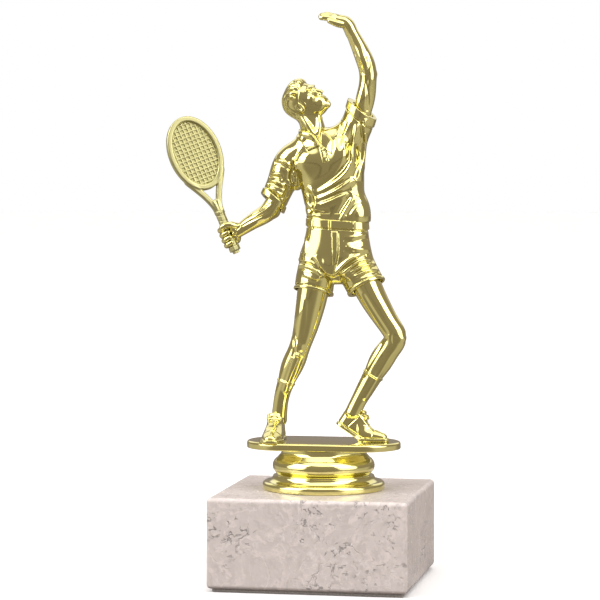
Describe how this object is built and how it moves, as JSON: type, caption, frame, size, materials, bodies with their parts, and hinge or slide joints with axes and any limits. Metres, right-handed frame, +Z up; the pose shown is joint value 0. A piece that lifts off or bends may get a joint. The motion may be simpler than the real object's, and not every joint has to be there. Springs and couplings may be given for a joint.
{
  "type": "figure trophy",
  "caption": "Gold tennis-player figure, serving with a racket, standing on a round riser bolted to a square marble block.",
  "frame": {"origin": "centre of the felt's underside, on the axis of the clamping rod", "axes": "+Z up along the clamping rod, -Y the front that the player's chest faces, +X the player's left, where the raised arm is"},
  "size_m": [0.0784, 0.06, 0.1716],
  "materials": {
    "marble": "polished pale pink-grey marble with fine dark veins",
    "felt": "pressed wool felt, pale grey",
    "zinc_steel": "bright zinc plate",
    "gold": "polystyrene, vacuum metallised bright gold",
    "satin_gold": "polystyrene, vacuum metallised satin gold"
  },
  "bodies": {
    "block": {"marble_block": "marble", "base_felt": "felt"},
    "figure": {"riser": "gold", "foot_plate": "gold", "figure_front": "gold", "figure_back": "gold", "racket": "satin_gold", "threaded_rod": "zinc_steel", "captive_nut": "zinc_steel", "clamp_nut": "zinc_steel", "clamp_washer": "zinc_steel"}
  },
  "joints": [
    {"name": "figure_swivel", "type": "hinge", "parent": "block", "child": "figure", "pos_m": [0, 0, 0.028], "axis": [0, 0, 1], "continuous": true}
  ]
}
